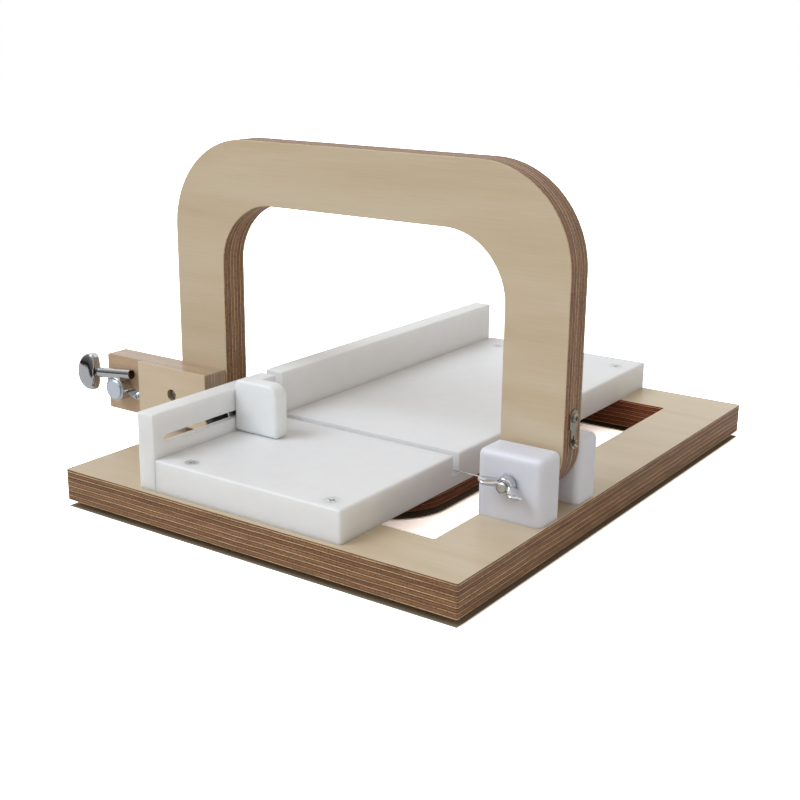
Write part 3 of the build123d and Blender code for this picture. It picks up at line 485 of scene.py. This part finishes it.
def middle_of(name):
    """Middle of a CAD piece's box, in metres."""
    low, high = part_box(name)
    return np.array((low + high) / 2)


# %% Tuner button
def tuner_button(tilt=6.0, turned=8.0, left=11.0, right=4.0, half_height=11.6, half_thick=3.4, dome=1.2):
    """Half-moon pad: with u round the outline and v from rear to front, the outline is a half ellipse
    on the left and nearly flat on the right, where a low power of the cosine squares its corners. The
    rim is rounded, and both faces swell by dome times one less the squared share of the way to the
    rim. It leans by tilt in its own plane and is turned back on its shaft by turned, in degrees."""
    rim, flat_side, ends, thickness = 0.3, 0.45, 0.95, 0.5  # powers below 1 square a curve off
    from_rear, around = np.linspace(-np.pi / 2, np.pi / 2, 65), np.linspace(0, 2 * np.pi, 120, False)
    v, u = np.meshgrid(from_rear, around, indexing="ij")
    ring = power(np.cos(v), rim)
    outline = np.where(np.cos(u) > 0, right * power(np.cos(u), flat_side), left * np.cos(u))
    across = ring * outline + (left - right) / 2
    up = ring * half_height * power(np.sin(u), ends)
    front = half_thick * power(np.sin(v), thickness) + dome * np.sign(v) * (1 - ring ** 2)
    lean, turn = math.radians(tilt), math.radians(turned)
    side = across * math.cos(lean) - up * math.sin(lean)
    rise = across * math.sin(lean) + up * math.cos(lean)
    grid = np.stack([side, rise * math.sin(turn) - front * math.cos(turn),
                     rise * math.cos(turn) + front * math.sin(turn)], axis=-1)
    return middle_of("tuner_button") + grid / 1000


skin("tuner_button_cast", tuner_button(), "tuner_button", chrome)


# %% Wing nut
def wing(side, root=2.5, along=9.0, foot=2.4, climb=7.8, narrow=2.6, broad=5.2, thick=2.0, thin=1.6):
    """One wing: an oval section swept along a line that climbs away from the bolt. At t from 0 to 1
    the line is at (root + along t, foot + climb t^1.3). The oval's half height grows from narrow to
    broad while its half thickness shrinks from thick to thin. It opens over the first thirtieth, and
    closes as the square root of 1 - t^6 at the tip."""
    bend, blunt, opening_rate = 1.3, 6, 30
    share = np.linspace(0, 1, 41) ** 0.7  # rows closer together at the tip
    around = np.linspace(0, 2 * np.pi, 40, False)
    t, turn = np.meshgrid(share, around, indexing="ij")
    close = np.sqrt(np.clip(1 - t ** blunt, 0, 1)) * np.clip(t * opening_rate, 0, 1)
    slope = np.arctan2(bend * climb * t ** (bend - 1), along)
    wide = (narrow + (broad - narrow) * t) * close * np.cos(turn)
    out = root + along * t - wide * np.sin(slope)
    lift = foot + climb * t ** bend + wide * np.cos(slope)
    deep = (thick + (thin - thick) * t) * close * np.sin(turn)
    return np.stack([side * out, side * deep, lift], axis=-1)


def hub(bore=2.56, base=5.5, top=4.4, tall=5.0):
    """Ring turned about the bolt: a squared-off oval section whose outer side tapers from base to
    top. All four are millimetres, the first three of them radii."""
    squared = 0.5
    round_bolt, round_section = np.linspace(0, 2 * np.pi, 64), np.linspace(0, 2 * np.pi, 40, False)
    around, turn = np.meshgrid(round_bolt, round_section, indexing="ij")
    level = tall / 2 * (1 + power(np.sin(turn), squared))
    outer = base + (top - base) * level / tall
    radius = (bore + outer) / 2 + (outer - bore) / 2 * power(np.cos(turn), squared)
    return np.stack([radius * np.cos(around), radius * np.sin(around), level], axis=-1)


def on_bolt(grid, turned=14.6):
    """Grid in the nut's own frame (bolt axis up, in millimetres) set on the bolt's front end, in
    metres, with the right wing turned down by some degrees."""
    angle = -math.radians(turned)
    x = grid[..., 0] * math.cos(angle) - grid[..., 1] * math.sin(angle)
    z = grid[..., 0] * math.sin(angle) + grid[..., 1] * math.cos(angle)
    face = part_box("wing_nut")[1].y
    axis = middle_of("pivot_bolt")
    return np.stack([axis[0] + x / 1000, face - grid[..., 2] / 1000, axis[2] + z / 1000], axis=-1)


for name, grid in (("wing_nut_hub", hub()), ("wing_nut_left", wing(-1)), ("wing_nut_right", wing(1))):
    skin(name, on_bolt(grid), "wing_nut", chrome)

# %% [markdown]
# ## Floor and light
# The photograph is taken in a white tent, in soft light from the front left,
# with a tight dark shadow under the board. The floor is matt white paper. Where
# the camera looks straight at it, its colour is several times too bright, so it
# turns white wherever it is lit and still keeps the shadow. Under the board's
# rails and tongue its colour is painted dark brown, a painted shadow, and in the
# channel of the opening it is painted brighter still, painted light that turns
# the shade there white. Metal mirrors it as plain paper, and plain paper is also
# what throws light back on the wood. The world works the same way: white to the
# camera, an even warm fill to the object.

# %% Floor
def seen_directly(tree):
    """1 for camera, glossy and transmission rays, 0 for the rays that carry light."""
    ray = add(tree, "LightPath").node.outputs
    seen = add(tree, "Math", {"operation": "MAXIMUM"}, s0=ray["Is Camera Ray"], s1=ray["Is Glossy Ray"])
    return add(tree, "Math", {"operation": "MAXIMUM"}, s0=seen, s1=ray["Is Transmission Ray"])


def grey(level):
    """Linear grey as a colour: 1 is white, and more is brighter than white."""
    return (level, level, level, 1.0)


# Painted light: the second value makes the floor inside the opening brighter still, so the shade there turns
# white.
lit_paper, painted_light_paper, mirrored_paper = grey(3.6), grey(8.0), grey(0.74)
# Painted shadow: the dark brown the floor is given under the board's rails and tongue.
painted_shadow_paper = (0.28, 0.22, 0.16, 1.0)
plain_paper = (0.80, 0.77, 0.71, 1.0)
reach = 4.0
corners = [(-reach, -reach, 0), (reach, -reach, 0), (reach, reach, 0), (-reach, reach, 0)]
floor_mesh = bpy.data.meshes.new("floor")
floor_mesh.from_pydata(corners, [], [(0, 1, 2, 3)])
floor = bpy.data.objects.new("floor", floor_mesh)
bpy.context.scene.collection.objects.link(floor)
paper = bpy.data.materials.new("matt_white_paper")
paper.use_nodes = True
tree = paper.node_tree
tree.nodes.clear()
place = add(tree, "VectorMath", {"operation": "SCALE"}, s0=add(tree, "TexCoord", out=3), Scale=1000.0)
# Painted shadow: this mask is the board's footprint, where the floor's colour is painted dark.
under = add(tree, "MapRange", Value=beyond(tree, place, *footprint), From_Min=0.6, From_Max=-0.6)
# Painted light: inside the opening, off the tongue, the floor is painted brighter still.
in_opening = add(tree, "MapRange", Value=beyond(tree, place, *opening), From_Min=3.0, From_Max=0.0)
on_tongue = add(tree, "MapRange", Value=beyond(tree, place, *tongue), From_Min=3.0, From_Max=0.0)
painted_light_mask = add(tree, "Math", {"operation": "SUBTRACT", "use_clamp": True}, s0=in_opening, s1=on_tongue)
tint = add(tree, "Mix", blend, out=2, s0=under, s6=lit_paper, s7=painted_shadow_paper)
tint = add(tree, "Mix", blend, out=2, s0=painted_light_mask, s6=tint, s7=painted_light_paper)
mirrored = add(tree, "LightPath").node.outputs["Is Glossy Ray"]
tint = add(tree, "Mix", blend, out=2, s0=mirrored, s6=tint, s7=mirrored_paper)
shade = add(tree, "Mix", blend, out=2, s0=seen_directly(tree), s6=plain_paper, s7=tint)
surface = add(tree, "BsdfDiffuse", Color=shade)
add(tree, "OutputMaterial", Surface=surface)
floor_mesh.materials.append(paper)
print("floor", 2 * reach, "m square, white to the camera, dark under the board")

# %% [markdown]
# The tent is open towards the front, and the room beyond it is dark, so metal
# shows a black line where the floor ends and grey above it, up to the white
# roof of the tent. Without that line chrome looks like white paint. Everything
# else still sees the even, slightly warm fill.

# %% World
fill_strength, warm_white = 0.53, (1.0, 0.955, 0.885, 1.0)
world = bpy.data.worlds.new("studio")
bpy.context.scene.world = world
world.use_nodes = True
tree = world.node_tree
tree.nodes.clear()
heading = add(tree, "SeparateXYZ", Vector=add(tree, "TexCoord", out=0)).node.outputs
room = add(tree, "ValToRGB", Fac=heading["Z"], stops=[
    (0.00, "#101010"), (0.06, "#181818"), (0.10, "#565656"),
    (0.35, "#7c7c7c"), (0.55, "#b0b0b0"), (0.68, "#ffffff")])
open_side = add(tree, "MapRange", Value=heading["Y"], From_Min=0.1, From_Max=-0.25)
tent = add(tree, "Mix", blend, out=2, s0=open_side, s6=grey(1.0), s7=room)
mirror = add(tree, "LightPath").node.outputs["Is Glossy Ray"]
tent = add(tree, "Mix", blend, out=2, s0=mirror, s6=grey(1.0), s7=tent)
fill = add(tree, "Background", Color=warm_white, Strength=fill_strength)
white = add(tree, "Background", Color=tent, Strength=1.0)
either = add(tree, "MixShader", s0=seen_directly(tree), s1=fill, s2=white)
add(tree, "OutputWorld", Surface=either)
print("world white to the camera,", fill_strength, "to the object, dark in front to mirrors")


# %% Key light
toward_key = Vector((-0.30, -0.36, 0.55))
key = bpy.data.lights.new("key", "SUN")
key.energy = 1.5
key.angle = math.radians(35)
key.color = (0.91, 1.0, 1.13)
lamp = bpy.data.objects.new("key", key)
lamp.rotation_euler = toward_key.to_track_quat("Z", "Y").to_euler()
bpy.context.scene.collection.objects.link(lamp)
height = math.degrees(math.asin(toward_key.normalized().z))
print("key light", round(height), "degrees above the floor")

# %% [markdown]
# ## Camera
# The view was solved from about sixty edges of the board, the platform and the
# bow: a 57.65 mm lens on a 36 mm sensor, looking left and down from the right
# front.

# %% Camera at the photograph's place
camera_place = (0.445975, -0.62551, 0.26525)
camera = bpy.data.objects.new("camera", bpy.data.cameras.new("camera"))
bpy.context.scene.collection.objects.link(camera)
bpy.context.scene.camera = camera
camera.data.lens = 57.65
camera.data.sensor_width = 36.0
yaw, pitch, roll = (math.radians(angle) for angle in (34.69, -16.53, 0.59))
forward = Vector((-math.sin(yaw) * math.cos(pitch), math.cos(yaw) * math.cos(pitch), math.sin(pitch)))
level_right = Vector((math.cos(yaw), math.sin(yaw), 0))
level_up = level_right.cross(forward)
right = level_right * math.cos(roll) + level_up * math.sin(roll)
up = level_up * math.cos(roll) - level_right * math.sin(roll)
turn = Matrix((right, up, -forward)).transposed()
camera.matrix_world = Matrix.Translation(camera_place) @ turn.to_4x4()
bpy.context.scene.view_settings.view_transform = "Standard"
print("camera looks along", [round(c, 3) for c in forward])
